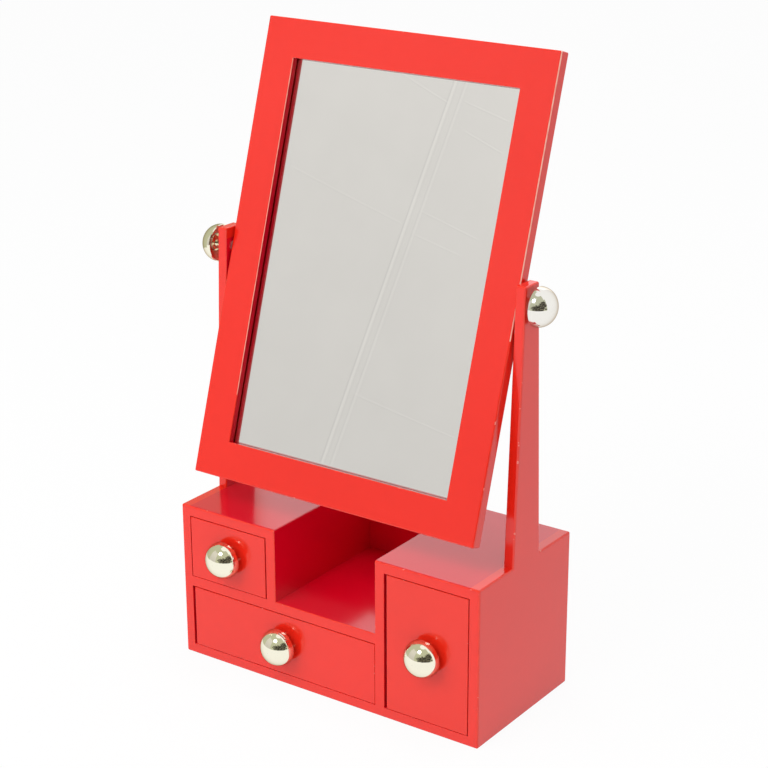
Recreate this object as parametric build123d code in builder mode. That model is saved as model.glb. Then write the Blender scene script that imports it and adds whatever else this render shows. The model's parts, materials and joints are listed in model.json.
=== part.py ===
from build123d import *
from math import cos, radians, sin, sqrt
import os

# Table mirror: a framed mirror that tilts between two posts over a low case with three drawers.
# Millimetres. X runs to the right, Y to the back and Z up. The origin lies under the middle of the
# case, on the surface that the case stands on. The front of the case looks along -Y.

os.makedirs("parts", exist_ok=True)

# Case
CASE_W = 300.0
CASE_D = 138.0
CASE_H = 138.5
BOARD = 9.0
TRAY_W = 101.5
LOWER_OPENING = 55.5
ARRIS = 1.6
TRAY_ARRIS = 0.9

# Back sheet, let into the side boards and pinned to every board that it crosses
BACK_SHEET = 3.0
BACK_LEDGE = 4.5
PIN_R = 0.6
PIN_L = 13.0
PIN_HEAD_R = 1.4
PIN_HEAD_H = 0.5
PIN_FIT = 0.05

# Stub tongues that join the boards, held back from the front so that no joint shows
TONGUE_T = 3.0
TONGUE_L = 3.0
TONGUE_STOP = 10.0
TONGUE_FIT = 0.1

# Posts, in one piece with the side boards. They are as high as the frame needs to swing clear of the case.
SWING_ROOM = 20.3
POST_OVER_PIVOT = 16.7
POST_FOOT = 40.0
POST_HEAD = 20.0
POST_ARRIS = 1.2

# Mirror frame, measured in its own plane
TILT = 17.5
SIDE_GAP = 1.5
FRAME_H = 384.0
FRAME_T = 10.6
MEMBER_W = 31.0
TOP_MEMBER_W = 32.0
FRAME_ARRIS = 1.2
LIP_T = 5.7
LIP_ARRIS = 0.7

# Glass and backing, each in its own rebate behind the lip
GLASS_T = 2.0
GLASS_LEDGE = 5.0
GLASS_PLAY = 0.5
BACKING_T = 2.5
BACKING_LAND = 8.0
BACKING_PLAY = 0.4

# Countersunk screws through the backing
SCREW_R = 1.2
SCREW_HEAD_R = 2.5
SCREW_L = 7.0
SCREW_FIT = 0.1
SCREW_MARGIN = 4.0

# Clamp knobs: a stud runs from the knob through the post into a threaded sleeve in the stile
STUD_R = 2.5
STUD_RUN = 0.06
STUD_IN_KNOB = 9.5
STUD_IN_SLEEVE = 10.0
SLEEVE_R = 4.0
SLEEVE_L = 12.0
SLEEVE_FIT = 0.03
SPACER_R = 5.0
CLAMP_WASHER_R = 7.0
CLAMP_WASHER_T = 0.8

# Knobs, one pattern for the drawers and the clamps
KNOB_R = 15.9
KNOB_DOME = 14.6
KNOB_STANDOFF = 5.8
KNOB_BAND = 0.4
KNOB_BEVEL = 0.6
KNOB_DISH = 0.6
KNOB_NECK_R = 5.2
KNOB_FOOT_R = 6.6
KNOB_FOOT_T = 1.0
BORE_SPARE = 0.5

# Screws that hold the drawer knobs
KNOB_SCREW_R = 2.0
KNOB_SCREW_IN = 8.0
KNOB_SCREW_FIT = 0.05
KNOB_SCREW_HEAD_R = 4.0
KNOB_SCREW_HEAD_T = 2.2
KNOB_SCREW_HEAD_BEVEL = 0.8

# Drawers
FRONT_T = 9.0
WALL_T = 6.0
SHEET_T = 3.0
FRONT_ARRIS = 0.6
FRONT_LAP = 4.0
GROOVE_UP = 4.0
GROOVE_DEEP = 3.0
GROOVE_FIT = 0.1
WALL_DROP = 2.5
BACK_INSET = 4.0
BACK_HOUSING = 2.0
FRONT_LIFT = 0.3
GAP_OVER = 0.9
GAP_BEHIND = 0.5

# Side play of each drawer in its bay, and how far to the right of the middle it stands
SMALL_PLAY = 2.0
SMALL_SHIFT = -0.4
LOWER_PLAY = 2.8
LOWER_SHIFT = 0.9
TALL_PLAY = 3.5
TALL_SHIFT = 0.75

# Places that follow from the sizes
HALF_W = CASE_W / 2
INNER = HALF_W - BOARD
FRONT = -CASE_D / 2
REAR = CASE_D / 2
SHEET_Y = REAR - BACK_SHEET
TRAY = TRAY_W / 2
BAY = TRAY + BOARD
DIVIDER_Z = BOARD + LOWER_OPENING
FLOOR_Z = DIVIDER_Z + BOARD
CEILING_Z = CASE_H - BOARD
PIVOT_Z = CASE_H + FRAME_H / 2 + SWING_ROOM
POST_TOP = PIVOT_Z + POST_OVER_PIVOT

FRAME_W = CASE_W - 2 * BOARD - 2 * SIDE_GAP
SIGHT_W = FRAME_W - 2 * MEMBER_W
SIGHT_H = FRAME_H - MEMBER_W - TOP_MEMBER_W
SIGHT_Y = (MEMBER_W - TOP_MEMBER_W) / 2
GLASS_FRONT = FRAME_T / 2 - LIP_T
GLASS_BACK = GLASS_FRONT - GLASS_T
BACKING_BACK = GLASS_BACK - BACKING_T

# The mirror's own plane: X along the pivot, Y up the glass and Z out of its face
MIRROR = Plane(
    origin=(0, 0, PIVOT_Z),
    x_dir=(1, 0, 0),
    z_dir=(0, -cos(radians(TILT)), sin(radians(TILT))),
)
OUT_OF_GLASS = Axis(MIRROR.origin, MIRROR.z_dir)


def keep(piece, name):
    """Label a finished piece and write it to its own file."""
    piece.part.label = name
    export_step(piece.part, f"parts/{name}.step")


def span(a, b):
    """Two values in rising order."""
    return (min(a, b), max(a, b))


def slab(x, y, z, mode=Mode.ADD):
    """A block between two X, two Y and two Z values, in the part that is being built."""
    with Locations(((x[0] + x[1]) / 2, (y[0] + y[1]) / 2, (z[0] + z[1]) / 2)):
        Box(x[1] - x[0], y[1] - y[0], z[1] - z[0], mode=mode)


def level_tongue(face_x, hand, z):
    """A stub tongue on the end of a level board whose underside is at z."""
    middle = z + BOARD / 2
    slab(
        span(face_x, face_x + hand * TONGUE_L),
        (FRONT + TONGUE_STOP, SHEET_Y),
        (middle - TONGUE_T / 2, middle + TONGUE_T / 2),
    )


def level_groove(face_x, hand, z):
    """The groove that takes a level board's tongue, cut into the face of an upright board."""
    middle = z + BOARD / 2
    half = TONGUE_T / 2 + TONGUE_FIT
    slab(
        span(face_x, face_x + hand * (TONGUE_L + TONGUE_FIT)),
        (FRONT + TONGUE_STOP - TONGUE_FIT, SHEET_Y),
        (middle - half, middle + half),
        Mode.SUBTRACT,
    )


def foot_tongue(x, z):
    """A stub tongue under an upright board whose middle is at x and whose foot is at z."""
    slab(
        (x - TONGUE_T / 2, x + TONGUE_T / 2),
        (FRONT + TONGUE_STOP, SHEET_Y),
        (z - TONGUE_L, z),
    )


def foot_groove(x, z):
    """The groove in a level board's top face that takes an upright board's tongue."""
    half = TONGUE_T / 2 + TONGUE_FIT
    slab(
        (x - half, x + half),
        (FRONT + TONGUE_STOP - TONGUE_FIT, SHEET_Y),
        (z - TONGUE_L - TONGUE_FIT, z),
        Mode.SUBTRACT,
    )


# Pins of the back sheet, as X and Z: one in the divider, two up each side, and one over and one under
# each outer bay
BAY_MIDDLE = (BAY + INNER) / 2
PIN_PLACES = [(0, DIVIDER_Z + BOARD / 2)]
for hand in (-1, 1):
    PIN_PLACES += [(hand * (INNER + BACK_LEDGE / 2), share * CASE_H) for share in (0.25, 0.75)]
    PIN_PLACES += [(hand * BAY_MIDDLE, height) for height in (BOARD / 2, CASE_H - BOARD / 2)]
PIN_SPOTS = [(x, REAR, z) for x, z in PIN_PLACES]


def pin_shapes(grow, mode=Mode.ADD):
    """All the pins, driven forward from the back. A fit grows their radii and the depth of their points."""
    into_case = (90, 0, 0)
    from_back = (Align.CENTER, Align.CENTER, Align.MIN)
    with Locations(*PIN_SPOTS):
        Cylinder(PIN_R + grow, PIN_L + grow, rotation=into_case, align=from_back, mode=mode)
        Cylinder(PIN_HEAD_R + grow, PIN_HEAD_H, rotation=into_case, align=from_back, mode=mode)


def side_board(hand):
    """One side of the case and its post, cut from one board. hand is -1 at left and 1 at right."""
    with BuildPart() as board:
        with BuildSketch(Plane.YZ.offset(hand * HALF_W)):
            with BuildLine():
                Polyline(
                    (FRONT, 0),
                    (REAR, 0),
                    (REAR, CASE_H),
                    (POST_FOOT / 2, CASE_H),
                    (POST_HEAD / 2, POST_TOP),
                    (-POST_HEAD / 2, POST_TOP),
                    (-POST_FOOT / 2, CASE_H),
                    (FRONT, CASE_H),
                    close=True,
                )
            make_face()
        extrude(amount=-hand * BOARD)
        outer_face = board.faces().filter_by(Axis.X).sort_by(Axis.X)[-1 if hand > 0 else 0]
        corners = board.edges().filter_by(Axis.X)
        corners = corners.filter_by(lambda edge: abs(abs(edge.center().Y) - POST_FOOT / 2) > ARRIS)
        fillet(outer_face.edges() + corners, ARRIS)
        inner_face = board.faces().filter_by(Axis.X).sort_by(Axis.X)[0 if hand > 0 else -1]
        post_edges = inner_face.edges().filter_by(lambda edge: edge.center().Z > CASE_H + ARRIS)
        fillet(post_edges, POST_ARRIS)
        level_groove(hand * INNER, hand, 0)
        level_groove(hand * INNER, hand, CEILING_Z)
        if hand < 0:
            level_groove(hand * INNER, hand, DIVIDER_Z)
        slab(span(hand * INNER, hand * (INNER + BACK_LEDGE)), (SHEET_Y, REAR), (0, CASE_H), Mode.SUBTRACT)
        with Locations((hand * HALF_W, 0, PIVOT_Z)):
            Cylinder(STUD_R + STUD_RUN, 3 * BOARD, rotation=(0, 90, 0), mode=Mode.SUBTRACT)
        pin_shapes(PIN_FIT, Mode.SUBTRACT)
    return board


def top_board(hand):
    """The lid of one bay, between its partition and the side board."""
    with BuildPart() as board:
        slab(span(hand * BAY, hand * INNER), (FRONT, SHEET_Y), (CEILING_Z, CASE_H))
        front_edges = board.edges().filter_by(Axis.X).group_by(Axis.Y)[0]
        fillet(front_edges.sort_by(Axis.Z)[-1], ARRIS)
        level_tongue(hand * BAY, -hand, CEILING_Z)
        level_tongue(hand * INNER, hand, CEILING_Z)
        pin_shapes(PIN_FIT, Mode.SUBTRACT)
    return board


def partition(hand, foot_z):
    """A wall between the tray and one bay. Only the stretch beside the open tray has rounded arrises."""
    tray_face = hand * TRAY
    bay_face = hand * BAY
    with BuildPart() as board:
        slab(span(tray_face, bay_face), (FRONT, SHEET_Y), (FLOOR_Z, CASE_H))
        front_edge = board.edges().filter_by(Axis.X).group_by(Axis.Y)[0].sort_by(Axis.Z)[-1]
        fillet(front_edge, ARRIS)
        tray_edges = board.edges().filter_by(lambda edge: abs(edge.center().X - tray_face) < TRAY_ARRIS)
        upright_edge = tray_edges.filter_by(Axis.Z).sort_by(Axis.Y)[0]
        top_edge = tray_edges.filter_by(Axis.Y).sort_by(Axis.Z)[-1]
        fillet([upright_edge, top_edge], TRAY_ARRIS)
        if foot_z < FLOOR_Z:
            slab(span(tray_face, bay_face), (FRONT, SHEET_Y), (foot_z, FLOOR_Z))
            level_groove(tray_face, hand, DIVIDER_Z)
        foot_tongue((tray_face + bay_face) / 2, foot_z)
        level_groove(bay_face, -hand, CEILING_Z)
    return board


keep(side_board(-1), "side_left")
keep(side_board(1), "side_right")
keep(top_board(-1), "top_left")
keep(top_board(1), "top_right")
keep(partition(-1, FLOOR_Z), "partition_short")
keep(partition(1, BOARD), "partition_tall")

with BuildPart() as bottom_board:
    slab((-INNER, INNER), (FRONT, SHEET_Y), (0, BOARD))
    fillet(bottom_board.edges().filter_by(Axis.X).group_by(Axis.Y)[0].sort_by(Axis.Z)[0], ARRIS)
    level_tongue(-INNER, -1, 0)
    level_tongue(INNER, 1, 0)
    foot_groove(TRAY + BOARD / 2, BOARD)
    pin_shapes(PIN_FIT, Mode.SUBTRACT)
keep(bottom_board, "bottom_board")

# The divider is the roof of the wide drawer, the floor of the small drawer's bay and that of the tray
with BuildPart() as divider_board:
    slab((-TRAY, TRAY), (FRONT, SHEET_Y), (DIVIDER_Z, FLOOR_Z))
    fillet(divider_board.edges().filter_by(Axis.X).group_by(Axis.Y)[0].sort_by(Axis.Z)[-1], TRAY_ARRIS)
    slab((-INNER, -TRAY), (FRONT, SHEET_Y), (DIVIDER_Z, FLOOR_Z))
    level_tongue(-INNER, -1, DIVIDER_Z)
    level_tongue(TRAY, 1, DIVIDER_Z)
    foot_groove(-TRAY - BOARD / 2, FLOOR_Z)
    pin_shapes(PIN_FIT, Mode.SUBTRACT)
keep(divider_board, "divider_board")

with BuildPart() as back_panel:
    slab((-INNER - BACK_LEDGE, INNER + BACK_LEDGE), (SHEET_Y, REAR), (0, CASE_H))
    fillet(back_panel.edges().filter_by(Axis.X).group_by(Axis.Y)[-1], ARRIS)
    pin_shapes(PIN_FIT, Mode.SUBTRACT)
keep(back_panel, "back_panel")

with BuildPart() as back_pins:
    pin_shapes(0)
keep(back_pins, "back_pins")

# Backing screws, as X and Y in the mirror's plane: three down each stile and one in each rail
SCREW_X = SIGHT_W / 2 + GLASS_LEDGE + SCREW_MARGIN
SCREW_Y = SIGHT_H / 2 + GLASS_LEDGE + SCREW_MARGIN
SCREW_PLACES = []
for hand in (-1, 1):
    SCREW_PLACES += [(hand * SCREW_X, SIGHT_Y + share * SIGHT_H) for share in (-0.4, 0, 0.4)]
    SCREW_PLACES += [(0, SIGHT_Y + hand * SCREW_Y)]
SCREW_SPOTS = [(x, y, BACKING_BACK) for x, y in SCREW_PLACES]

# The frame is worked as one rounded, rebated blank, and then divided into its four halved members
with BuildPart(MIRROR) as frame_blank:
    Box(FRAME_W, FRAME_H, FRAME_T)
    fillet(frame_blank.edges(), FRAME_ARRIS)
    with BuildSketch(MIRROR):
        with Locations((0, SIGHT_Y)):
            Rectangle(SIGHT_W, SIGHT_H)
    extrude(amount=FRAME_T, both=True, mode=Mode.SUBTRACT)
    front_face = frame_blank.faces().sort_by(OUT_OF_GLASS)[-1]
    fillet(front_face.inner_wires()[0].edges(), LIP_ARRIS)
    with BuildSketch(MIRROR.offset(GLASS_FRONT)):
        with Locations((0, SIGHT_Y)):
            Rectangle(SIGHT_W + 2 * GLASS_LEDGE, SIGHT_H + 2 * GLASS_LEDGE)
    extrude(amount=-FRAME_T, mode=Mode.SUBTRACT)
    with BuildSketch(MIRROR.offset(GLASS_BACK)):
        with Locations((0, SIGHT_Y)):
            Rectangle(
                SIGHT_W + 2 * (GLASS_LEDGE + BACKING_LAND),
                SIGHT_H + 2 * (GLASS_LEDGE + BACKING_LAND),
            )
    extrude(amount=-FRAME_T, mode=Mode.SUBTRACT)
    with Locations(*[(hand * FRAME_W / 2, 0, 0) for hand in (-1, 1)]):
        Cylinder(
            SLEEVE_R + SLEEVE_FIT,
            2 * SLEEVE_L,
            rotation=(0, 90, 0),
            mode=Mode.SUBTRACT,
        )
    with Locations(*SCREW_SPOTS):
        Cylinder(
            SCREW_R + SCREW_FIT,
            SCREW_L + SCREW_FIT,
            align=(Align.CENTER, Align.CENTER, Align.MIN),
            mode=Mode.SUBTRACT,
        )


def stile(hand):
    """An upright of the frame: full height in front, halved away behind where the rails cross it."""
    with BuildPart() as member:
        with BuildSketch(MIRROR.offset(FRAME_T / 2)):
            with Locations((hand * (FRAME_W - MEMBER_W) / 2, 0)):
                Rectangle(MEMBER_W, FRAME_H)
        extrude(amount=-LIP_T)
        with BuildSketch(MIRROR.offset(GLASS_FRONT)):
            with Locations((hand * (FRAME_W - MEMBER_W) / 2, SIGHT_Y)):
                Rectangle(MEMBER_W, SIGHT_H)
        extrude(amount=LIP_T - FRAME_T)
        add(frame_blank.part, mode=Mode.INTERSECT)
    return member


def rail(hand, width):
    """The bottom or top of the frame: between the stiles in front, and right across behind them."""
    middle = hand * (FRAME_H - width) / 2
    with BuildPart() as member:
        with BuildSketch(MIRROR.offset(FRAME_T / 2)):
            with Locations((0, middle)):
                Rectangle(SIGHT_W, width)
        extrude(amount=-LIP_T)
        with BuildSketch(MIRROR.offset(GLASS_FRONT)):
            with Locations((0, middle)):
                Rectangle(FRAME_W, width)
        extrude(amount=LIP_T - FRAME_T)
        add(frame_blank.part, mode=Mode.INTERSECT)
    return member


keep(stile(-1), "frame_stile_left")
keep(stile(1), "frame_stile_right")
keep(rail(-1, MEMBER_W), "frame_rail_bottom")
keep(rail(1, TOP_MEMBER_W), "frame_rail_top")

with BuildPart(MIRROR) as mirror_glass:
    with BuildSketch(MIRROR.offset(GLASS_FRONT)):
        with Locations((0, SIGHT_Y)):
            Rectangle(SIGHT_W + 2 * (GLASS_LEDGE - GLASS_PLAY), SIGHT_H + 2 * (GLASS_LEDGE - GLASS_PLAY))
    extrude(amount=-GLASS_T)
keep(mirror_glass, "mirror_glass")

BACKING_REACH = GLASS_LEDGE + BACKING_LAND - BACKING_PLAY
with BuildPart(MIRROR) as backing_board:
    with BuildSketch(MIRROR.offset(GLASS_BACK)):
        with Locations((0, SIGHT_Y)):
            Rectangle(SIGHT_W + 2 * BACKING_REACH, SIGHT_H + 2 * BACKING_REACH)
    extrude(amount=-BACKING_T)
    with Locations(*[Location(spot, (180, 0, 0)) for spot in SCREW_SPOTS]):
        CounterSinkHole(SCREW_R + SCREW_FIT, SCREW_HEAD_R, depth=2 * BACKING_T, counter_sink_angle=90)
keep(backing_board, "backing_board")

with BuildPart(MIRROR) as backing_screws:
    with Locations(*SCREW_SPOTS):
        Cylinder(SCREW_R, SCREW_L, align=(Align.CENTER, Align.CENTER, Align.MIN))
        Cone(
            SCREW_HEAD_R,
            SCREW_R,
            SCREW_HEAD_R - SCREW_R,
            align=(Align.CENTER, Align.CENTER, Align.MIN),
        )
keep(backing_screws, "backing_screws")


# The dome is two arcs that pass smoothly into each other. They meet halfway between two points that
# lie equally far along the tangent at the rim and the tangent at the crown.
DOME_SPAN = KNOB_R + KNOB_DOME
DOME_TANGENT = (sqrt(DOME_SPAN**2 + 2 * (KNOB_R**2 + KNOB_DOME**2)) - DOME_SPAN) / 2
DOME_TURN_R = (KNOB_R + DOME_TANGENT) / 2
DOME_TURN_H = (KNOB_DOME + DOME_TANGENT) / 2


def knob(foot, outward, bore_r, bore_depth, standoff):
    """A knob turned about the outward direction: a slim neck, a dished back, a bevelled rim and a dome."""
    side = Vector(0, 0, 1)
    section = Plane(origin=foot, x_dir=side, z_dir=side.cross(Vector(outward)))
    back = standoff - KNOB_BAND - KNOB_BEVEL
    crown = standoff + KNOB_DOME
    with BuildPart() as turned:
        with BuildSketch(section):
            with BuildLine():
                Polyline(
                    (0, crown),
                    (0, bore_depth),
                    (bore_r, bore_depth),
                    (bore_r, 0),
                    (KNOB_FOOT_R, 0),
                    (KNOB_FOOT_R, KNOB_FOOT_T),
                    (KNOB_NECK_R, KNOB_FOOT_T + KNOB_FOOT_R - KNOB_NECK_R),
                    (KNOB_NECK_R, back + KNOB_DISH),
                    (KNOB_R - KNOB_BEVEL, back),
                    (KNOB_R, back + KNOB_BEVEL),
                    (KNOB_R, standoff),
                )
                shoulder = TangentArc((KNOB_R, standoff), (DOME_TURN_R, standoff + DOME_TURN_H), tangent=(0, 1))
                TangentArc(shoulder @ 1, (0, crown), tangent=shoulder % 1)
            make_face()
        revolve(axis=Axis(foot, outward))
    return turned


def rod(start, end, radius, bore_r=0.0):
    """A round rod, washer or sleeve along the pivot's axis, between two X values."""
    with BuildPart() as piece:
        with BuildSketch(Plane.YZ.offset(start)):
            with Locations((0, PIVOT_Z)):
                Circle(radius)
                if bore_r:
                    Circle(bore_r, mode=Mode.SUBTRACT)
        extrude(amount=end - start)
    return piece


for side_name, hand in (("left", -1), ("right", 1)):
    washer_face = hand * (HALF_W + CLAMP_WASHER_T)
    stile_edge = hand * FRAME_W / 2
    run_bore = STUD_R + STUD_RUN
    keep(
        knob((washer_face, 0, PIVOT_Z), (hand, 0, 0), run_bore, STUD_IN_KNOB, KNOB_STANDOFF - CLAMP_WASHER_T),
        f"clamp_knob_{side_name}",
    )
    keep(
        rod(stile_edge - hand * STUD_IN_SLEEVE, washer_face + hand * STUD_IN_KNOB, STUD_R),
        f"clamp_stud_{side_name}",
    )
    keep(rod(hand * HALF_W, washer_face, CLAMP_WASHER_R, run_bore), f"clamp_washer_{side_name}")
    keep(rod(stile_edge, hand * INNER, SPACER_R, run_bore), f"spacer_washer_{side_name}")
    keep(rod(stile_edge - hand * SLEEVE_L, stile_edge, SLEEVE_R, run_bore), f"pivot_sleeve_{side_name}")


def drawer(name, bay, play, shift):
    """The pieces of a drawer that runs on its two sides in a bay, given as its X pair and its Z pair."""
    (bay_left, bay_right), (bay_floor, bay_roof) = bay
    middle = (bay_left + bay_right) / 2 + shift
    half = (bay_right - bay_left - play) / 2
    left, right = middle - half, middle + half
    bottom, top = bay_floor + FRONT_LIFT, bay_roof - GAP_OVER
    wall_top = top - WALL_DROP
    front_back = FRONT + FRONT_T
    rear = SHEET_Y - GAP_BEHIND
    back_y = (rear - BACK_INSET - WALL_T, rear - BACK_INSET)
    sheet = (bay_floor + GROOVE_UP, bay_floor + GROOVE_UP + SHEET_T)
    groove = (sheet[0] - GROOVE_FIT, sheet[1] + GROOVE_FIT)
    knob_z = (bottom + top) / 2

    with BuildPart() as front:
        slab((left, right), (FRONT, front_back), (bottom, top))
        fillet(front.faces().sort_by(Axis.Y)[0].edges(), FRONT_ARRIS)
        for wall in ((left, left + WALL_T), (right - WALL_T, right)):
            slab(wall, (FRONT + FRONT_LAP, front_back), (bottom, wall_top), Mode.SUBTRACT)
        slab((left, right), (front_back - GROOVE_DEEP, front_back), groove, Mode.SUBTRACT)
        with Locations((middle, FRONT, knob_z)):
            Cylinder(
                KNOB_SCREW_R + KNOB_SCREW_FIT,
                3 * FRONT_T,
                rotation=(90, 0, 0),
                mode=Mode.SUBTRACT,
            )
    keep(front, f"{name}_front")

    for side_name, wall, inner in (("left", (left, left + WALL_T), 1), ("right", (right - WALL_T, right), -1)):
        inner_face = wall[1] if inner > 0 else wall[0]
        with BuildPart() as side:
            slab(wall, (FRONT + FRONT_LAP, rear), (bay_floor, wall_top))
            slab(
                span(inner_face, inner_face - inner * GROOVE_DEEP),
                (FRONT + FRONT_LAP, rear),
                groove,
                Mode.SUBTRACT,
            )
            slab(
                span(inner_face, inner_face - inner * BACK_HOUSING),
                back_y,
                (sheet[1], wall_top),
                Mode.SUBTRACT,
            )
        keep(side, f"{name}_side_{side_name}")

    with BuildPart() as back:
        housed = (left + WALL_T - BACK_HOUSING, right - WALL_T + BACK_HOUSING)
        slab(housed, back_y, (sheet[1], wall_top))
    keep(back, f"{name}_back")

    with BuildPart() as base:
        reach = GROOVE_DEEP - GROOVE_FIT
        slab(
            (left + WALL_T - reach, right - WALL_T + reach),
            (front_back - reach, rear),
            sheet,
        )
    keep(base, f"{name}_bottom")

    keep(
        knob((middle, FRONT, knob_z), (0, -1, 0), KNOB_SCREW_R + KNOB_SCREW_FIT,
             KNOB_SCREW_IN + BORE_SPARE, KNOB_STANDOFF),
        f"{name}_knob",
    )
    with BuildPart() as knob_screw:
        with Locations((middle, front_back, knob_z)):
            Cylinder(
                KNOB_SCREW_R,
                FRONT_T + KNOB_SCREW_IN,
                rotation=(90, 0, 0),
                align=(Align.CENTER, Align.CENTER, Align.MIN),
            )
            Cylinder(
                KNOB_SCREW_HEAD_R,
                KNOB_SCREW_HEAD_T,
                rotation=(-90, 0, 0),
                align=(Align.CENTER, Align.CENTER, Align.MIN),
            )
        chamfer(knob_screw.edges().sort_by(Axis.Y)[-1], KNOB_SCREW_HEAD_BEVEL)
    keep(knob_screw, f"{name}_knob_screw")


drawer("small_drawer", ((-INNER, -BAY), (FLOOR_Z, CEILING_Z)), SMALL_PLAY, SMALL_SHIFT)
drawer("lower_drawer", ((-INNER, TRAY), (BOARD, DIVIDER_Z)), LOWER_PLAY, LOWER_SHIFT)
drawer("tall_drawer", ((BAY, INNER), (BOARD, CEILING_Z)), TALL_PLAY, TALL_SHIFT)
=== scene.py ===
import json
from math import cos, radians, sin

import bpy
import numpy as np
from mathutils import Matrix, Vector


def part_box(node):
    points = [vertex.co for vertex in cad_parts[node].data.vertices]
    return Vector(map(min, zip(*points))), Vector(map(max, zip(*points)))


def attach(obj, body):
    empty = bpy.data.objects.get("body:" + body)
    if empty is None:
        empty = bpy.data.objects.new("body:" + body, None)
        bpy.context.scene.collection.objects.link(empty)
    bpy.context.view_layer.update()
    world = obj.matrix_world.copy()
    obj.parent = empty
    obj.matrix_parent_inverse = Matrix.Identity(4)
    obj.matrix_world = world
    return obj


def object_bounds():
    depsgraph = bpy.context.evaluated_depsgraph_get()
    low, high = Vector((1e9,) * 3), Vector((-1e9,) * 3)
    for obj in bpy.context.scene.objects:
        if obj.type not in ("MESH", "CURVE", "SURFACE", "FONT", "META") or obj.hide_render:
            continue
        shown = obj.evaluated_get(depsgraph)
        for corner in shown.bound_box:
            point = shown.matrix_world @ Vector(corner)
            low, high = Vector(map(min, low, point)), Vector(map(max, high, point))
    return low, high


# Table mirror in red lacquer: a tilting framed glass over a low case with three drawers and round
# brass knobs. Metres, in the frame of the CAD model: the front looks along -Y and Z is up.

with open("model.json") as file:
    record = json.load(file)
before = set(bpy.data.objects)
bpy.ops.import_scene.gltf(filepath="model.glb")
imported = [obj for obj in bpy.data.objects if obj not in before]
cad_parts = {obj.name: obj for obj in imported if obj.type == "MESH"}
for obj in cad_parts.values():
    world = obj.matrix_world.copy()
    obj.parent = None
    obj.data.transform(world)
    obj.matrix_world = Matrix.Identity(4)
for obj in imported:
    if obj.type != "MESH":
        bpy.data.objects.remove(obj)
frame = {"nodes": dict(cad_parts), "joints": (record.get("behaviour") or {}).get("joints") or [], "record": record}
cad_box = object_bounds()
NODES = frame["nodes"]
MM = 0.001

# The photograph's camera: where it stands round the object, and the point that it looks at
CAMERA_AZIMUTH = 34.765
CAMERA_ELEVATION = 20.124
CAMERA_DISTANCE = 1.5374
CAMERA_TARGET = Vector((0.07741, -0.069, 0.28544))
CAMERA_LENS = 94.536
PICTURE = 768
PRINCIPAL_POINT = (401.95, 393.36)

# How far the mirror leans back, and the pivot that it swings on
MIRROR_TILT = 17.5
PIVOT = next(joint["pos_m"] for joint in frame["joints"] if joint["name"] == "mirror_tilt")


# ---- places and directions


def bearing(azimuth, elevation):
    """The unit vector towards an azimuth and elevation in degrees.

    Azimuth 0 is the front, -Y, and 90 is +X.
    """
    a = radians(azimuth)
    e = radians(elevation)
    return Vector((sin(a) * cos(e), -cos(a) * cos(e), sin(e)))


def mirror_frame():
    """The matrix from the mirror's own plane to the room.

    In that plane X runs along the pivot, Y up the glass and Z out of it.
    """
    tilt = radians(MIRROR_TILT)
    along = Vector((1, 0, 0))
    out = Vector((0, -cos(tilt), sin(tilt)))
    turn = Matrix((along, out.cross(along), out)).transposed().to_4x4()
    return Matrix.Translation(PIVOT) @ turn


MIRROR = mirror_frame()


def moved_by(matrix, points):
    """An array of points, three columns, moved by a matrix."""
    turn = np.array(matrix)
    return points @ turn[:3, :3].T + turn[:3, 3]


def mirror_reach(node):
    """A CAD node's lowest and highest corners in the mirror's own plane."""
    mesh = NODES[node].data
    points = np.empty(len(mesh.vertices) * 3)
    mesh.vertices.foreach_get("co", points)
    points = moved_by(MIRROR.inverted(), points.reshape(-1, 3))
    return points.min(0), points.max(0)


# ---- making nodes


def give(tree, socket, value):
    """Joins a socket to an input, or sets the input to a plain value."""
    if isinstance(value, bpy.types.NodeSocket):
        tree.links.new(value, socket)
    else:
        socket.default_value = value


def add(tree, kind, inputs=None, **settings):
    """A new node in a tree. Inputs are values or sockets to join, by the input's name or number."""
    node = tree.nodes.new(kind)
    for name, value in settings.items():
        setattr(node, name, value)
    for name, value in (inputs or {}).items():
        give(tree, node.inputs[name], value)
    return node


def maths(tree, operation, a, b, clamp=False):
    """The result of a Math node on two values or sockets."""
    node = add(tree, "ShaderNodeMath", {0: a, 1: b}, operation=operation, use_clamp=clamp)
    return node.outputs[0]


def plus(tree, a, b):
    """One value and another."""
    return maths(tree, "ADD", a, b)


def minus(tree, a, b):
    """One value less another."""
    return maths(tree, "SUBTRACT", a, b)


def times(tree, a, b):
    """One value times another."""
    return maths(tree, "MULTIPLY", a, b)


def vectors(tree, operation, *inputs, output="Vector"):
    """The result of a Vector Math node, or its number if the output is Value."""
    node = add(tree, "ShaderNodeVectorMath", dict(enumerate(inputs)), operation=operation)
    return node.outputs[output]


def scaled(tree, vector, factor):
    """A vector or colour times a number."""
    return add(tree, "ShaderNodeVectorMath", {0: vector, 3: factor}, operation="SCALE").outputs[0]


def parts_of(tree, vector):
    """The X, Y and Z of a vector."""
    return add(tree, "ShaderNodeSeparateXYZ", {0: vector}).outputs


def spread(tree, value, low, high, first=0.0, last=1.0):
    """The value between low and high made to run from first to last, and held there beyond."""
    ends = {"Value": value, "From Min": low, "From Max": high, "To Min": first, "To Max": last}
    return add(tree, "ShaderNodeMapRange", ends).outputs[0]


def noise(tree, where, scale, detail):
    """The height of a noise texture, from 0 to 1."""
    inputs = {"Vector": where, "Scale": scale, "Detail": detail}
    return add(tree, "ShaderNodeTexNoise", inputs).outputs["Fac"]


def mapped(tree, vector, kind="POINT", **inputs):
    """A vector turned and stretched, or of kind TEXTURE, as seen from a turned and moved place."""
    return add(tree, "ShaderNodeMapping", {"Vector": vector, **inputs}, vector_type=kind).outputs[0]


def coordinates(tree, kind="Object"):
    """The place on the piece, in Object coordinates or another kind by name."""
    return add(tree, "ShaderNodeTexCoord").outputs[kind]


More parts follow.
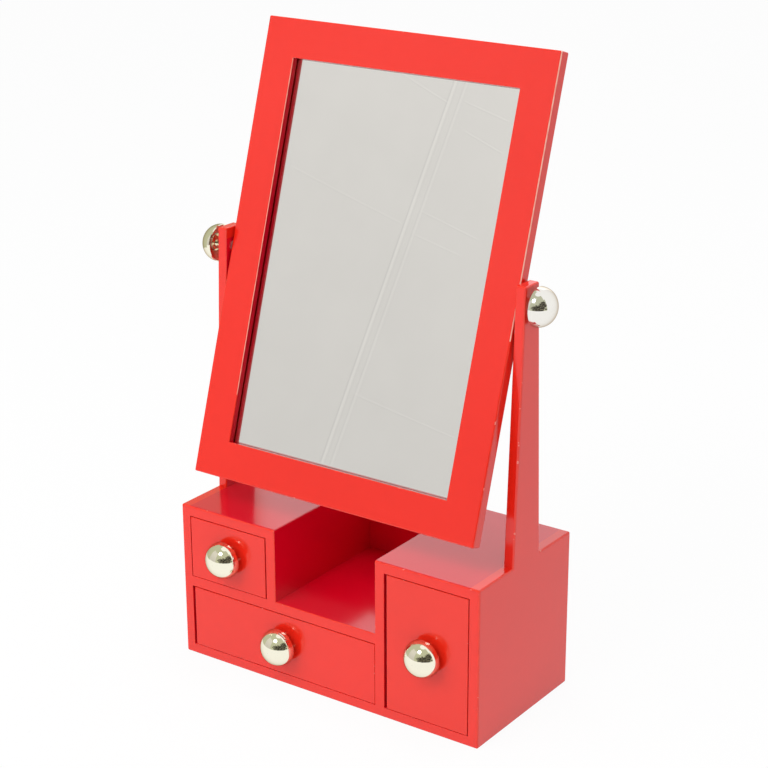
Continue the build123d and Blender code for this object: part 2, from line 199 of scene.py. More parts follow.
def scattered(tree, where, scale, channel):
    """The distance to the nearest of scattered points, and 1 round the few that are picked."""
    cells = add(tree, "ShaderNodeTexVoronoi", {"Vector": where, "Scale": scale}).outputs
    lot = add(tree, "ShaderNodeSeparateColor", {"Color": cells["Color"]}).outputs[channel]
    return cells["Distance"], maths(tree, "GREATER_THAN", lot, PICKED)


def blend(tree, factor, a, b):
    """The colour of a Mix node: a where the factor is 0 and b where it is 1."""
    return add(tree, "ShaderNodeMix", {0: factor, 6: a, 7: b}, data_type="RGBA").outputs[2]


def group(name, inputs, outputs):
    """An empty shader node group with named inputs and outputs, and its two end nodes.

    Inputs are (name, socket kind, value) and outputs are (name, socket kind).
    """
    tree = bpy.data.node_groups.new(name, "ShaderNodeTree")
    for label, kind, value in inputs:
        socket = tree.interface.new_socket(label, in_out="INPUT", socket_type=kind)
        socket.default_value = value
    for label, kind in outputs:
        tree.interface.new_socket(label, in_out="OUTPUT", socket_type=kind)
    return tree, tree.nodes.new("NodeGroupInput").outputs, tree.nodes.new("NodeGroupOutput").inputs


def place(tree, shared, **values):
    """The outputs of a shared group placed in a tree, its inputs given with _ for spaces."""
    inputs = {name.replace("_", " "): value for name, value in values.items()}
    return add(tree, "ShaderNodeGroup", inputs, node_tree=shared).outputs


# Scattered points draw a number from 0 to 1, and those above this one are picked
PICKED = 0.985

FLOAT = "NodeSocketFloat"
COLOUR = "NodeSocketColor"
VECTOR = "NodeSocketVector"


# ---- effects that several finishes share


def broken_up(tree, given, where, low, high):
    """A factor from 1 down to 1 less the group's Breakup, in patches of noise."""
    patches = noise(tree, where, given["Breakup Scale"], 3.0)
    return spread(tree, patches, low, high, minus(tree, 1.0, given["Breakup"]))


def make_edge_wear():
    """A mask that is 1 along rounded or sharp arrises and 0 on flat faces, broken up by noise."""
    tree, given, out = group(
        "edge wear",
        [("Radius", FLOAT, 0.0012), ("Strength", FLOAT, 6.0), ("Breakup Scale", FLOAT, 220.0),
         ("Breakup", FLOAT, 0.5)],
        [("Mask", FLOAT)],
    )
    soft = add(tree, "ShaderNodeBevel", {"Radius": given["Radius"]}, samples=4).outputs[0]
    true = add(tree, "ShaderNodeNewGeometry").outputs["True Normal"]
    turn = minus(tree, 1.0, vectors(tree, "DOT_PRODUCT", soft, true, output="Value"))
    edge = maths(tree, "MULTIPLY", turn, given["Strength"], clamp=True)
    gaps = broken_up(tree, given, coordinates(tree), 0.38, 0.62)
    give(tree, out["Mask"], times(tree, edge, gaps))
    return tree


def make_arris_mask():
    """A mask that is 1 on a rounded arris and 0 on flat faces, and another of tiny chips and painted glints along
    it.

    A flat face looks along one of the piece's own axes, so the mask is how far the largest part of
    the normal falls short of 1. The tilt turns those axes about X, in radians.
    """
    tree, given, out = group(
        "arris mask",
        [("Tilt", VECTOR, (0, 0, 0)), ("Breakup Scale", FLOAT, 90.0), ("Breakup", FLOAT, 0.5)],
        [("Mask", FLOAT), ("Chips And Glints", FLOAT)],
    )
    turned = mapped(tree, coordinates(tree, "Normal"), "TEXTURE", Rotation=given["Tilt"])
    x, y, z = parts_of(tree, vectors(tree, "ABSOLUTE", turned))
    most = maths(tree, "MAXIMUM", maths(tree, "MAXIMUM", x, y), z)
    arris = spread(tree, most, 0.985, 0.86)
    where = coordinates(tree)
    give(tree, out["Mask"], times(tree, arris, broken_up(tree, given, where, 0.4, 0.6)))
    picked = scattered(tree, where, 520.0, "Green")[1]
    give(tree, out["Chips And Glints"], times(tree, arris, picked))
    return tree


def make_box_mask():
    """A mask that is 1 inside a box between two corners, and 0 outside it."""
    tree, given, out = group(
        "inside a box",
        [("Vector", VECTOR, (0, 0, 0)), ("Low", VECTOR, (0, 0, 0)), ("High", VECTOR, (0, 0, 0))],
        [("Mask", FLOAT)],
    )
    mask = 1.0
    for more, less in (("Vector", "Low"), ("High", "Vector")):
        for room in parts_of(tree, vectors(tree, "SUBTRACT", given[more], given[less])):
            mask = times(tree, maths(tree, "GREATER_THAN", room, 0.0), mask)
    give(tree, out["Mask"], mask)
    return tree


def make_mottle():
    """A colour that drifts a little lighter and darker, in broad and in fine patches."""
    tree, given, out = group(
        "mottle",
        [("Color", COLOUR, (0.5, 0.5, 0.5, 1)), ("Broad Scale", FLOAT, 9.0),
         ("Fine Scale", FLOAT, 160.0), ("Amount", FLOAT, 0.06)],
        [("Color", COLOUR), ("Patches", FLOAT)],
    )
    where = coordinates(tree)
    broad = noise(tree, where, given["Broad Scale"], 2.0)
    fine = noise(tree, where, given["Fine Scale"], 4.0)
    patches = spread(tree, plus(tree, broad, times(tree, fine, 0.35)), 0.45, 0.9)
    swing = times(tree, minus(tree, patches, 0.5), given["Amount"])
    give(tree, out["Color"], scaled(tree, given["Color"], plus(tree, swing, 1.0)))
    give(tree, out["Patches"], patches)
    return tree


def make_spray_texture():
    """The height of sprayed paint: a shallow orange peel, and a few specks of dust in the coat."""
    tree, given, out = group(
        "spray texture",
        [("Peel Scale", FLOAT, 420.0), ("Speck Scale", FLOAT, 300.0), ("Specks", FLOAT, 0.5)],
        [("Height", FLOAT)],
    )
    where = coordinates(tree)
    peel = noise(tree, where, given["Peel Scale"], 1.0)
    distance, picked = scattered(tree, where, given["Speck Scale"], "Red")
    speck = times(tree, spread(tree, distance, 0.16, 0.04), picked)
    give(tree, out["Height"], plus(tree, peel, times(tree, speck, given["Specks"])))
    return tree


def make_fine_scratches():
    """A mask of hairlines that run every way: three stretched noises turned against each other."""
    tree, given, out = group(
        "fine scratches",
        [("Scale", FLOAT, 60.0), ("Share", FLOAT, 0.3)],
        [("Mask", FLOAT)],
    )
    where = coordinates(tree)
    lines = 0.0
    for turn in ((0.4, 0.9, 0.2), (1.3, -0.5, 1.1), (-0.8, 0.3, 2.2)):
        drawn = mapped(tree, where, Rotation=turn, Scale=(1, 1, 28))
        line = spread(tree, noise(tree, drawn, given["Scale"], 2.0), 0.66, 0.74)
        lines = maths(tree, "MAXIMUM", line, lines)
    give(tree, out["Mask"], times(tree, lines, given["Share"]))
    return tree


def make_wood_grain():
    """Straight grain along a board: growth bands drawn out lengthways, and short dark pores.

    The vector is the place on the board with its length along X.
    """
    tree, given, out = group(
        "wood grain",
        [("Vector", VECTOR, (0, 0, 0)), ("Light", COLOUR, (0.6, 0.4, 0.22, 1)),
         ("Dark", COLOUR, (0.4, 0.24, 0.12, 1)), ("Band Scale", FLOAT, 90.0),
         ("Pore Share", FLOAT, 0.5)],
        [("Color", COLOUR), ("Height", FLOAT)],
    )
    drawn = mapped(tree, given["Vector"], Scale=(0.06, 1, 1))
    drift = add(tree, "ShaderNodeTexNoise", {"Vector": drawn, "Scale": 40.0, "Detail": 2.0})
    shifted = vectors(tree, "MULTIPLY_ADD", drift.outputs["Color"], (0.02, 0.02, 0.02), drawn)
    bands = add(tree, "ShaderNodeTexNoise",
                {"Vector": shifted, "Scale": given["Band Scale"], "Detail": 5.0, "Roughness": 0.6})
    band = spread(tree, bands.outputs["Fac"], 0.3, 0.72)
    long = mapped(tree, given["Vector"], Scale=(0.09, 1, 1))
    pore = spread(tree, noise(tree, long, 900.0, 1.0), 0.6, 0.72)
    pores = times(tree, pore, given["Pore Share"])
    dark = maths(tree, "ADD", times(tree, band, 0.75), pores, clamp=True)
    give(tree, out["Color"], blend(tree, dark, given["Light"], given["Dark"]))
    give(tree, out["Height"], minus(tree, 1.0, dark))
    return tree


EDGE_WEAR = make_edge_wear()
ARRIS = make_arris_mask()
INSIDE = make_box_mask()
MOTTLE = make_mottle()
SPRAY = make_spray_texture()
SCRATCHES = make_fine_scratches()
GRAIN = make_wood_grain()


# ---- finishes


CASE_RED = (0.84, 0.02, 0.009, 1)
TALL_RED = (0.82, 0.022, 0.009, 1)
FRAME_RED = (0.8, 0.018, 0.008, 1)
# A painted highlight: the lighter, more orange red along the lacquer's arrises
ARRIS_SHEEN_RED = (0.95, 0.08, 0.03, 1)
# Painted shade: the deeper crimson of the tray, the gaps round the drawers and the sight edge
SHADE_RED = (0.72, 0.001, 0.017, 1)
# Tiny specks along the arrises, partly real chips and partly painted glints
CHIP_AND_GLINT_PINK = (0.95, 0.55, 0.45, 1)
# A painted highlight: pale pink on the frame's right front arris and the opening's left one
HIGHLIGHT_PINK = (0.95, 0.66, 0.52, 1)
LACQUER_ROUGHNESS = 0.11
CASE_IOR = 1.55
FRAME_IOR = 1.52

PALE_BRASS = (0.93, 0.9, 0.74, 1)
# A painted reflection: a whiter copy of the pale brass for the right clamp knob
REFLECTION_WHITE_BRASS = (0.87, 0.85, 0.8, 1)
WORN_BRASS = (0.98, 0.9, 0.62, 1)
RIM_TINT = (0.55, 0.46, 0.36, 1)
YELLOW_BRASS = (0.78, 0.56, 0.25, 1)
ZINC = (0.62, 0.62, 0.6, 1)
BRIGHT_ZINC = (0.8, 0.79, 0.76, 1)
PALE_WOOD = (0.66, 0.46, 0.27, 1)
DARK_WOOD = (0.45, 0.28, 0.14, 1)
RUBBED_WOOD = (0.74, 0.56, 0.36, 1)
BROWN_BOARD = (0.23, 0.125, 0.062, 1)
PALE_FIBRE = (0.36, 0.22, 0.12, 1)
GLASS_TONE = (0.975, 0.985, 0.98, 1)
SILVER_TONE = (0.95, 0.955, 0.95, 1)


def material(name, **plain):
    """A new material, its tree and its Principled shader, with plain values set by input name."""
    made = bpy.data.materials.new(name)
    made.use_nodes = True
    shader = made.node_tree.nodes["Principled BSDF"]
    for label, value in plain.items():
        shader.inputs[label.replace("_", " ")].default_value = value
    return made, made.node_tree, shader


def bump(tree, shader, height, strength, distance):
    """Joins a height to a shader's normal."""
    inputs = {"Height": height, "Strength": strength, "Distance": distance}
    give(tree, shader.inputs["Normal"], add(tree, "ShaderNodeBump", inputs).outputs[0])


def coat(tree, shader, colour, mask, swing, rough):
    """Joins a shader's colour, and a roughness that is rough plus swing times the mask."""
    give(tree, shader.inputs["Base Color"], colour)
    give(tree, shader.inputs["Roughness"], plus(tree, times(tree, mask, swing), rough))


def red_lacquer(name, colour, ior, origin=(0, 0, 0), tilt=0.0, shade_boxes=(), highlight_boxes=()):
    """Sprayed and polished red lacquer, with painted light on it.

    A painted highlight of lighter, more orange red runs along the arrises, and the tiny chips
    along them are partly chips and partly painted glints. Origin and tilt are those of the
    piece's own axes, and a box is two corners in those axes. Inside the shade boxes the coat is
    painted shade, a deeper crimson, as in the tray, the gaps round the drawers and the frame's
    sight edge. Inside the highlight boxes the arrises carry a painted highlight in pale pink.
    """
    made, tree, shader = material(name, IOR=ior)
    body = place(tree, MOTTLE, Color=colour, Broad_Scale=7.0, Fine_Scale=120.0, Amount=0.05)
    arris = place(tree, ARRIS, Tilt=(tilt, 0, 0), Breakup_Scale=60.0, Breakup=0.7)
    # Painted highlight along every arris
    paint = blend(tree, times(tree, arris["Mask"], 0.3), body["Color"], ARRIS_SHEEN_RED)
    own = mapped(tree, coordinates(tree), "TEXTURE", Location=origin, Rotation=(tilt, 0, 0))
    # Painted shade: a deeper crimson inside the shade boxes
    for low, high in shade_boxes:
        deep = place(tree, INSIDE, Vector=own, Low=low, High=high)
        paint = blend(tree, deep["Mask"], paint, SHADE_RED)
    # Painted highlight: pale pink along the arrises inside the highlight boxes
    for low, high in highlight_boxes:
        wear_and_sheen = place(tree, ARRIS, Tilt=(tilt, 0, 0), Breakup_Scale=130.0, Breakup=0.3)
        highlight_area = place(tree, INSIDE, Vector=own, Low=low, High=high)
        highlight_share = times(tree, times(tree, wear_and_sheen["Mask"], highlight_area["Mask"]), 0.85)
        paint = blend(tree, highlight_share, paint, HIGHLIGHT_PINK)
    # Specks along the arrises, partly chips and partly painted glints
    paint = blend(tree, times(tree, arris["Chips And Glints"], 0.4), paint, CHIP_AND_GLINT_PINK)
    rough = plus(tree, times(tree, body["Patches"], 0.05), LACQUER_ROUGHNESS)
    scuffs = place(tree, SCRATCHES, Scale=30.0, Share=0.5)
    coat(tree, shader, paint, scuffs["Mask"], 0.08, rough)
    spray = place(tree, SPRAY, Peel_Scale=260.0, Speck_Scale=240.0, Specks=0.6)
    bump(tree, shader, spray["Height"], 0.25, 0.02 * MM)
    return made


def pale_brass(name, colour):
    """Polished pale brass of a knob, with hairline scratches and a faint breath of tarnish."""
    made, tree, shader = material(name, Metallic=1.0, Specular_Tint=RIM_TINT)
    body = place(tree, MOTTLE, Color=colour, Broad_Scale=40.0, Fine_Scale=400.0, Amount=0.04)
    wear = place(tree, EDGE_WEAR, Radius=0.5 * MM, Strength=4.0, Breakup_Scale=300.0, Breakup=0.6)
    wear_and_sheen = blend(tree, times(tree, wear["Mask"], 0.25), body["Color"], WORN_BRASS)
    lines = place(tree, SCRATCHES, Scale=120.0, Share=1.0)
    coat(tree, shader, wear_and_sheen, lines["Mask"], 0.06, 0.05)
    return made


def turned_brass():
    """Plain yellow brass of the sleeves, left as it came from the lathe."""
    made, tree, shader = material("turned brass", Metallic=1.0)
    body = place(tree, MOTTLE, Color=YELLOW_BRASS, Broad_Scale=60.0, Fine_Scale=500.0, Amount=0.1)
    coat(tree, shader, body["Color"], body["Patches"], 0.15, 0.22)
    return made


def zinc_steel():
    """Zinc-plated steel of screws, washers, studs and pins: grey in lighter and darker patches."""
    made, tree, shader = material("zinc plated steel", Metallic=1.0)
    body = place(tree, MOTTLE, Color=ZINC, Broad_Scale=120.0, Fine_Scale=900.0, Amount=0.25)
    wear = place(tree, EDGE_WEAR, Radius=0.3 * MM, Strength=4.0, Breakup_Scale=500.0, Breakup=0.5)
    wear_and_sheen = blend(tree, times(tree, wear["Mask"], 0.6), body["Color"], BRIGHT_ZINC)
    coat(tree, shader, wear_and_sheen, body["Patches"], 0.2, 0.25)
    return made


def drawer_wood(name, lengthways):
    """Pale sanded wood of the drawer boxes. Lengthways turns the grain along the board."""
    made, tree, shader = material(name, IOR=1.45)
    turned = mapped(tree, coordinates(tree), Rotation=lengthways)
    grain = place(tree, GRAIN, Vector=turned, Light=PALE_WOOD, Dark=DARK_WOOD, Band_Scale=70.0,
                  Pore_Share=0.4)
    wear = place(tree, EDGE_WEAR, Radius=0.8 * MM, Strength=3.0, Breakup_Scale=150.0, Breakup=0.6)
    wear_and_sheen = blend(tree, times(tree, wear["Mask"], 0.4), grain["Color"], RUBBED_WOOD)
    coat(tree, shader, wear_and_sheen, grain["Height"], -0.12, 0.68)
    bump(tree, shader, grain["Height"], 0.3, 0.08 * MM)
    return made


def hardboard():
    """Smooth brown hardboard behind the glass: pressed fibres in lighter and darker patches."""
    made, tree, shader = material("brown hardboard", IOR=1.45)
    body = place(tree, MOTTLE, Color=BROWN_BOARD, Broad_Scale=25.0, Fine_Scale=700.0, Amount=0.35)
    fibres = place(tree, SCRATCHES, Scale=160.0, Share=0.6)
    paint = blend(tree, fibres["Mask"], body["Color"], PALE_FIBRE)
    coat(tree, shader, paint, body["Patches"], 0.2, 0.4)
    bump(tree, shader, body["Patches"], 0.3, 0.05 * MM)
    return made


def clear_glass():
    """Clear float glass in front of the silvering."""
    made, tree, shader = material("clear glass", IOR=1.5, Roughness=0.0, Transmission_Weight=1.0)
    body = place(tree, MOTTLE, Color=GLASS_TONE, Broad_Scale=3.0, Fine_Scale=20.0, Amount=0.01)
    give(tree, shader.inputs["Base Color"], body["Color"])
    return made


def silver_film():
    """The mirror's silvering, seen through its glass."""
    made, tree, shader = material("silvering", Metallic=1.0, Roughness=0.0)
    body = place(tree, MOTTLE, Color=SILVER_TONE, Broad_Scale=4.0, Fine_Scale=60.0, Amount=0.02)
    give(tree, shader.inputs["Base Color"], body["Color"])
    return made


# How far the boxes of painted shade and of painted highlight reach past the surfaces that they take in
MARGIN = 0.1 * MM
TRAY_MARGIN = 0.01 * MM

# The depth of a front's rounded arris, which the painted shade leaves out
FRONT_ARRIS = 0.7 * MM

# The tray's box of painted shade begins this far behind the foremost point of the whole object
TRAY_FRONT = 15 * MM

# How deep the sight opening's box of painted shade goes behind the middle of the frame
SIGHT_DEPTH = 10 * MM

# How wide the painted highlights on the outer and the inner arris of the frame are, and from what height up the
# mirror
OUTER_HIGHLIGHT = 1.3 * MM
OUTER_HIGHLIGHT_FROM = -30 * MM
INNER_HIGHLIGHT = 0.8 * MM
INNER_HIGHLIGHT_FROM = -120 * MM


def case_boxes():
    """Boxes of painted shade: the inside of the tray, and the hollow of the case behind its front arrises."""
    divider_low, divider_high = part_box("divider_board")
    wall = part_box("partition_short")[1].x
    low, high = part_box("side_left")[0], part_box("side_right")[1]
    board = divider_high.z - divider_low.z
    tray = ((wall - TRAY_MARGIN, cad_box[0].y + TRAY_FRONT, divider_high.z - TRAY_MARGIN),
            (-wall + TRAY_MARGIN, cad_box[1].y, cad_box[1].z))
    hollow = ((low.x + board - MARGIN, low.y + FRONT_ARRIS, board - MARGIN),
              (high.x - board + MARGIN, high.y, high.z - board + MARGIN))
    return tray, hollow


def frame_boxes():
    """The sight opening behind its front arris, for painted shade, and the two arrises with a
    painted highlight, in the mirror's plane.

    One is the frame's right front arris, and the other is the left one of the opening.
    """
    (sight, _, _), (edge, top, face) = mirror_reach("frame_stile_right")
    foot = mirror_reach("frame_rail_bottom")[1][1]
    head = mirror_reach("frame_rail_top")[0][1]
    opening = ((-sight - MARGIN, foot - MARGIN, -SIGHT_DEPTH),
               (sight + MARGIN, head + MARGIN, face - FRONT_ARRIS))
    outer = ((edge - OUTER_HIGHLIGHT, OUTER_HIGHLIGHT_FROM, face - OUTER_HIGHLIGHT),
             (edge + MARGIN, top + MARGIN, face + MARGIN))
    inner = ((-sight - INNER_HIGHLIGHT, INNER_HIGHLIGHT_FROM, face - FRONT_ARRIS),
             (-sight + MARGIN, head, face + MARGIN))
    return opening, (outer, inner)


def finish_nodes():
    """Gives each CAD node the finish of its slot, and the few that differ their own."""
    # The boxes of painted shade, and those of painted highlight on the frame
    tray, hollow = case_boxes()
    opening, highlight_area = frame_boxes()
    finishes = {
        "red_lacquer": red_lacquer("red lacquer", CASE_RED, CASE_IOR, shade_boxes=(tray, hollow)),
        "knob_metal": pale_brass("polished pale brass", PALE_BRASS),
        "sleeve_brass": turned_brass(),
        "steel": zinc_steel(),
        "drawer_wood": drawer_wood("drawer wood, grain to the back", (0, 0, radians(90))),
        "drawer_sheet": drawer_wood("drawer sheet", (radians(90), 0, 0)),
        "backing_sheet": hardboard(),
        "mirror_glass": clear_glass(),
    }
    # Painted shade in the gaps round the tall drawer's front
    tall_lacquer = red_lacquer("red lacquer of the tall drawer", TALL_RED, CASE_IOR,
                               shade_boxes=(hollow,))
    # Painted shade in the sight opening, and a painted highlight on two of the frame's arrises
    frame_lacquer = red_lacquer("red lacquer of the frame", FRAME_RED, FRAME_IOR, PIVOT,
                                radians(90 - MIRROR_TILT), (opening,), highlight_area)
    # Painted reflection: the right clamp knob's brass is whiter to stand in for the white it reflects
    reflection_brass = pale_brass("pale brass whitened as a painted reflection", REFLECTION_WHITE_BRASS)
    wood_across = drawer_wood("drawer wood, grain across", (0, 0, 0))
    for part in frame["record"]["subparts"]:
        name, slot = part["node"], part["material_slot"]
        finish = finishes[slot]
        if name.endswith("_back") and slot == "drawer_wood":
            finish = wood_across
        if name == "tall_drawer_front":
            finish = tall_lacquer
        if name == "clamp_knob_right":
            finish = reflection_brass
        if name.startswith("frame_"):
            finish = frame_lacquer
        NODES[name].data.materials.clear()
        NODES[name].data.materials.append(finish)


# ---- the new piece


def mesh_object(name, points, faces, finish):
    """An object at the origin from an array of points and lists of corner numbers."""
    mesh = bpy.data.meshes.new(name)
    mesh.from_pydata(points.tolist(), [], faces)
    mesh.update()
    mesh.materials.append(finish)
    made = bpy.data.objects.new(name, mesh)
    bpy.context.scene.collection.objects.link(made)
    return made


# How far the silvering stays inside the glass's edges and its back, and how thick it is
SILVER_EDGE = 0.05 * MM
SILVER_BACK = 0.01 * MM
SILVER_THICKNESS = 0.04 * MM


def silvering():
    """A thin closed sheet let into the back of the glass, from the eight corners of a box."""
    low, high = mirror_reach("mirror_glass")
    low = low + (SILVER_EDGE, SILVER_EDGE, SILVER_BACK)
    high = high - (SILVER_EDGE, SILVER_EDGE, 0)
    high[2] = low[2] + SILVER_THICKNESS
    choice = np.array([(x, y, z) for z in (0, 1) for y in (0, 1) for x in (0, 1)])
    points = np.where(choice == 1, high, low)
    faces = [(0, 2, 3, 1), (4, 5, 7, 6), (0, 1, 5, 4), (2, 6, 7, 3), (0, 4, 6, 2), (1, 3, 7, 5)]
    made = mesh_object("mirror_silvering", moved_by(MIRROR, points), faces, silver_film())
    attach(made, "mirror")


# ---- the stage: floor, white surroundings, cards that only show as reflections, and lamps


def stage_material(name):
    """An empty material for the stage, its tree and its output."""
    made = bpy.data.materials.new(name)
    made.use_nodes = True
    tree = made.node_tree
    tree.nodes.clear()
    return made, tree, add(tree, "ShaderNodeOutputMaterial")


def glow(tree, colour):
    """The light of a surface that glows in a colour."""
    return add(tree, "ShaderNodeEmission", {"Color": colour, "Strength": 1.0}).outputs[0]


def glow_material(name, colour):
    """A plain glowing surface of one colour."""
    made, tree, output = stage_material(name)
    give(tree, output.inputs[0], glow(tree, colour))
    return made


def seen_ray(tree):
    """1 for a ray from the camera, off something glossy or through glass, and 0 for the others."""
    path = add(tree, "ShaderNodeLightPath").outputs
    seen = maths(tree, "MAXIMUM", path["Is Camera Ray"], path["Is Glossy Ray"])
    return maths(tree, "MAXIMUM", seen, path["Is Transmission Ray"])


FLOOR_HALF = 4.0
FLOOR_GLOW = 0.94
WORLD_LIGHT = 0.62


def lay_floor():
    """A pale floor that reads as white and keeps a little of the object's shadow."""
    made, tree, output = stage_material("pale floor")
    paint = add(tree, "ShaderNodeBsdfDiffuse", {"Color": (0.9, 0.9, 0.9, 1)}).outputs[0]
    share = times(tree, seen_ray(tree), FLOOR_GLOW)
    inputs = {0: share, 1: paint, 2: glow(tree, (1, 1, 1, 1))}
    give(tree, output.inputs[0], add(tree, "ShaderNodeMixShader", inputs).outputs[0])
    h = FLOOR_HALF
    points = np.array([(-h, -h, 0), (h, -h, 0), (h, h, 0), (-h, h, 0)])
    mesh_object("floor", points, [(0, 1, 2, 3)], made)


def light_world():
    """White behind the object and in reflections, and a plain even light from all round."""
    world = bpy.data.worlds.new("white surroundings")
    bpy.context.scene.world = world
    world.use_nodes = True
    tree = world.node_tree
    background = tree.nodes["Background"].inputs
    background["Color"].default_value = (1, 1, 1, 1)
    give(tree, background["Strength"], spread(tree, seen_ray(tree), 0.0, 1.0, WORLD_LIGHT, 1.0))


def curved_card(name, distance, azimuths, elevations, finish, steps=24):
    """An upright sheet bent round the object, which only reflections see.

    It is the part of a cylinder between two azimuths and two elevations. Its UV is the length round
    the cylinder from azimuth 0, and the height, both in metres.
    """
    turn = np.radians(np.linspace(*azimuths, steps))
    height = np.tan(np.radians(np.linspace(*elevations, 2))) * distance
    a, z = np.meshgrid(turn, height)
    points = np.stack([distance * np.sin(a), -distance * np.cos(a), z], -1).reshape(-1, 3)
    points = points + np.array(CAMERA_TARGET)
    number = np.arange(2 * steps).reshape(2, steps)
    faces = np.stack([number[0, :-1], number[0, 1:], number[1, 1:], number[1, :-1]], -1).tolist()
    card = mesh_object(name, points, faces, finish)
    flat = np.stack([distance * a.ravel(), points[:, 2]], -1)
    corner = np.array([loop.vertex_index for loop in card.data.loops])
    layer = card.data.uv_layers.new(name="arc length and height")
    layer.data.foreach_set("uv", flat[corner].ravel())
    card.visible_camera = False
    card.visible_diffuse = False
    card.visible_shadow = False


# Folds of the grey card, as azimuth in degrees and height in metres of both ends, half width in
# metres and depth of shade. The first two are the long double fold.
GREY_DISTANCE = 2.2
FOLDS = (
    ((-36.83, 1.25), (-36.75, 0.45), 0.0085, 0.2),
    ((-36.28, 1.25), (-36.28, 0.45), 0.0075, 0.11),
    ((-39.54, 1.22), (-36.8, 1.197), 0.006, 0.14),
    ((-36.03, 1.212), (-33.61, 1.204), 0.006, 0.13),
    ((-35.52, 1.155), (-33.4, 1.139), 0.006, 0.13),
    ((-43.13, 0.966), (-36.98, 0.939), 0.006, 0.09),
    ((-36.23, 0.975), (-33.07, 0.96), 0.006, 0.11),
    ((-36.16, 0.927), (-33.58, 0.918), 0.006, 0.1),
    ((-36.42, 0.595), (-30.92, 0.579), 0.006, 0.1),
)

# A fold's shade across its width, 0.5 being flat: a dark edge, a light ridge and a thin shade
FOLD_PROFILE = (
    (0.0, 0.5), (0.2, 0.5), (0.35, 0.0), (0.5, 0.9), (0.7, 0.75), (0.82, 0.3), (1.0, 0.5),
)

# The middle of each dark patch as azimuth in degrees and height in metres, and its half sizes in
# metres
DARK_DISTANCE = 2.4
DARK_PATCHES = (((42, 0.62), (1.6, 0.62)), ((66, 1.35), (0.85, 0.75)))

GREY_TONE = (0.72, 0.69, 0.658)
WALL_TONE = (0.55, 0.56, 0.42, 1)
SCREEN_TONE = (0.9, 0.92, 0.86, 1)
BRIGHT_TONE = (1.45, 1.45, 1.45, 1)
BLACK_TONE = (0.008, 0.009, 0.008, 1)
BROWN_TONE = (0.3, 0.27, 0.2, 1)


def fold_shade(tree, where, start, end, half, depth):
    """What one fold adds to the card's shade: its profile across the line from start to end."""
    a, b = (Vector((radians(turn) * GREY_DISTANCE, height, 0)) for turn, height in (start, end))
    along = (b - a).normalized()
    side = Vector((-along.y, along.x, 0))
    moved = vectors(tree, "SUBTRACT", where, a)
    length = vectors(tree, "DOT_PRODUCT", moved, along, output="Value")
    across = vectors(tree, "DOT_PRODUCT", moved, side, output="Value")
    ramp = add(tree, "ShaderNodeValToRGB", {0: spread(tree, across, -half, half)})
    stops = ramp.color_ramp.elements
    while len(stops) < len(FOLD_PROFILE):
        stops.new(0.5)
    for stop, (position, value) in zip(stops, FOLD_PROFILE):
        stop.position = position
        stop.color = (value, value, value, 1)
    begun = maths(tree, "GREATER_THAN", length, 0.0)
    ended = maths(tree, "LESS_THAN", length, (b - a).length)
    line = times(tree, minus(tree, ramp.outputs[0], 0.5), depth)
    return times(tree, line, times(tree, begun, ended))


def folded_card():
    """A grey card, a little darker towards its foot, with soft folds."""
    made, tree, output = stage_material("folded grey card")
    where = coordinates(tree, "UV")
    shade = spread(tree, parts_of(tree, where)[1], 0.35, 1.25, 0.92, 1.04)
    patches = noise(tree, where, 9.0, 4.0)
    shade = plus(tree, shade, times(tree, minus(tree, patches, 0.5), 0.06))
    for fold in FOLDS:
        shade = plus(tree, shade, fold_shade(tree, where, *fold))
    give(tree, output.inputs[0], glow(tree, scaled(tree, GREY_TONE, shade)))
    return made


def ragged_dark():
    """Ragged black and brown patches on the wall's tone.

    The distance from each patch's middle is measured in shares of its half sizes, so its outline is
    an ellipse, and noise is added to that distance to tear the outline.
    """
    made, tree, output = stage_material("ragged dark card")
    where = coordinates(tree, "UV")
    nearest = 9.0
    for (azimuth, height), half in DARK_PATCHES:
        middle = (radians(azimuth) * DARK_DISTANCE, height, 0)
        shares = vectors(tree, "DIVIDE", vectors(tree, "SUBTRACT", where, middle), (*half, 1))
        nearest = maths(tree, "MINIMUM", vectors(tree, "LENGTH", shares, output="Value"), nearest)
    tear = times(tree, minus(tree, noise(tree, where, 2.6, 4.0), 0.5), 2.4)
    outside = spread(tree, plus(tree, nearest, tear), 1.15, 1.25)
    blotch = spread(tree, noise(tree, where, 4.0, 3.0), 0.45, 0.65)
    dark = blend(tree, blotch, BLACK_TONE, BROWN_TONE)
    give(tree, output.inputs[0], glow(tree, blend(tree, outside, dark, WALL_TONE)))
    return made


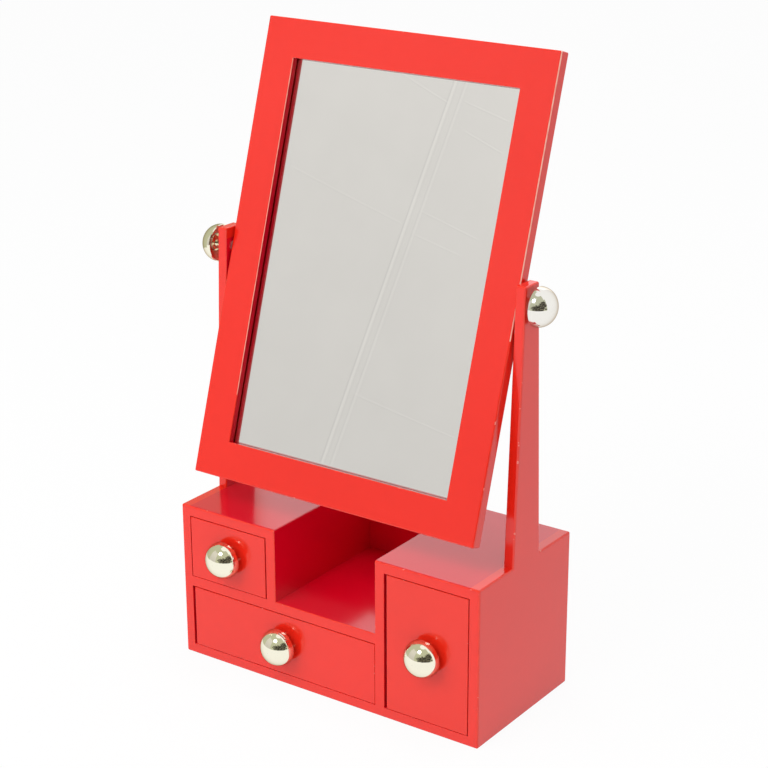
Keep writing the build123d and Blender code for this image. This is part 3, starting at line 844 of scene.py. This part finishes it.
def put_cards():
    """What the glass and the knobs reflect.

    A grey-green wall goes round the front, and a nearer one stands at the left. In front of the
    wall are a white screen behind the high lamp, a folded grey card at the left and a ragged dark
    one at the right. A bright card behind the object shows in the tops of the case.
    """
    wall = glow_material("wall card", WALL_TONE)
    screen = glow_material("screen card", SCREEN_TONE)
    bright = glow_material("bright card", BRIGHT_TONE)
    curved_card("room_card", 2.7, (-125, 80), (-10, 74), wall, 40)
    curved_card("screen_card", 2.3, (-19, 13), (33, 62), screen)
    curved_card("paper_card", GREY_DISTANCE, (-62, -22), (-9, 40), folded_card())
    curved_card("left_wall_card", 1.1, (-135, -64), (-14, 62), wall)
    curved_card("dark_card", DARK_DISTANCE, (-18, 90), (-9, 46), ragged_dark(), 36)
    curved_card("bright_back_card", 2.7, (-176, -128), (6, 50), bright)


# Name, azimuth and elevation in degrees, distance and width in metres, level, and whether shiny
# things show it. The level is how brightly the lamp alone lights white paper held square to it.
LAMPS = (
    ("lamp_high", -4, 47, 2.6, 0.8, 0.25, True),
    ("lamp_broad", -36, 30, 2.0, 1.3, 0.27, False),
    ("lamp_back", 180, 78, 2.4, 1.2, 0.26, False),
)


def set_lamps():
    """Round lamps that face the object: high in front, broad at the left, and overhead behind.

    The power is the level times pi squared times the distance squared.
    """
    for name, azimuth, elevation, distance, width, level, shown in LAMPS:
        data = bpy.data.lights.new(name, "AREA")
        data.shape = "DISK"
        data.size = width
        data.energy = level * np.pi**2 * distance**2
        towards = bearing(azimuth, elevation)
        made = bpy.data.objects.new(name, data)
        made.location = CAMERA_TARGET + distance * towards
        made.rotation_euler = towards.to_track_quat("Z", "Y").to_euler()
        made.visible_glossy = shown
        made.visible_transmission = shown
        bpy.context.scene.collection.objects.link(made)


def set_camera():
    """The photograph's viewpoint. The shift puts the lens axis at the picture's principal point."""
    data = bpy.data.cameras.new("camera")
    data.sensor_width = 36
    data.lens = CAMERA_LENS
    data.shift_x = (PICTURE / 2 - PRINCIPAL_POINT[0]) / PICTURE
    data.shift_y = (PRINCIPAL_POINT[1] - PICTURE / 2) / PICTURE
    data.clip_start = 0.05
    data.clip_end = 50
    back = bearing(CAMERA_AZIMUTH, CAMERA_ELEVATION)
    camera = bpy.data.objects.new("camera", data)
    camera.location = CAMERA_TARGET + CAMERA_DISTANCE * back
    camera.rotation_euler = back.to_track_quat("Z", "Y").to_euler()
    bpy.context.scene.collection.objects.link(camera)
    bpy.context.scene.camera = camera


finish_nodes()
silvering()
lay_floor()
light_world()
put_cards()
set_lamps()
set_camera()
bpy.context.scene.view_settings.view_transform = "Standard"


def plain(corners):
    """Two corners as plain lists."""
    return [[float(value) for value in corner] for corner in corners]
